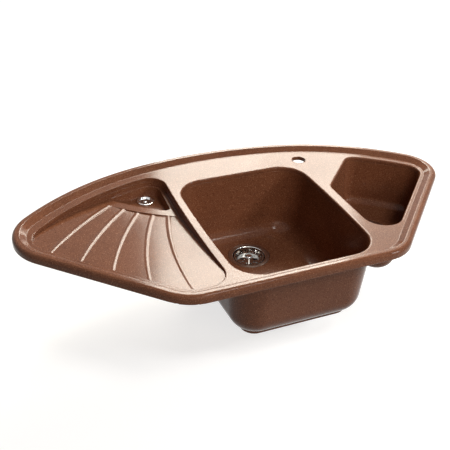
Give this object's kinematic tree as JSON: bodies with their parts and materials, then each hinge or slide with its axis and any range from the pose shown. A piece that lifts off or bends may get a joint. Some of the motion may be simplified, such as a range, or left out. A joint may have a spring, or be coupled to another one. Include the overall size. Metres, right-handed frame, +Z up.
{
  "type": "corner kitchen sink",
  "caption": "Corner kitchen sink moulded in one piece, with a main bowl, a small bowl, a ribbed drainer, basket strainers and an overflow outlet.",
  "frame": {"origin": "on the seating face under the rim, 7 mm behind the middle of the front edge", "axes": "+X right along the front edge, +Y from the front edge to the back curve, +Z up out of the worktop"},
  "size_m": [1.0567, 0.57, 0.265],
  "materials": {
    "composite": "satin, finely speckled brown stone composite",
    "seal": "matte black rubber",
    "stainless": "brushed stainless steel",
    "bright_metal": "bright plated metal",
    "waste_plastic": "matte black plastic"
  },
  "bodies": {
    "sink": {"rim_deck": "composite", "drainer_tray": "composite", "main_bowl": "composite", "small_bowl": "composite", "rim_seal": "seal", "main_flange_gasket": "seal", "main_strainer_dish": "stainless", "main_clamp_screw": "stainless", "main_body_gasket": "seal", "main_waste_body": "waste_plastic", "small_flange_gasket": "seal", "small_strainer_dish": "stainless", "small_clamp_screw": "stainless", "small_body_gasket": "seal", "small_waste_body": "waste_plastic", "drainer_rosette": "bright_metal", "rosette_screw": "stainless", "rosette_gasket": "seal", "overflow_elbow": "waste_plastic"},
    "main_basket": {"main_basket_cup": "stainless", "main_basket_seal": "seal", "main_basket_knob": "bright_metal"},
    "small_basket": {"small_basket_cup": "stainless", "small_basket_seal": "seal", "small_basket_knob": "bright_metal"}
  },
  "joints": [
    {"name": "main_basket_lift", "type": "slide", "parent": "sink", "child": "main_basket", "axis": [0, 0, 1], "range_m": [0, 0.21]},
    {"name": "small_basket_lift", "type": "slide", "parent": "sink", "child": "small_basket", "axis": [0, 0, 1], "range_m": [0, 0.16]}
  ]
}
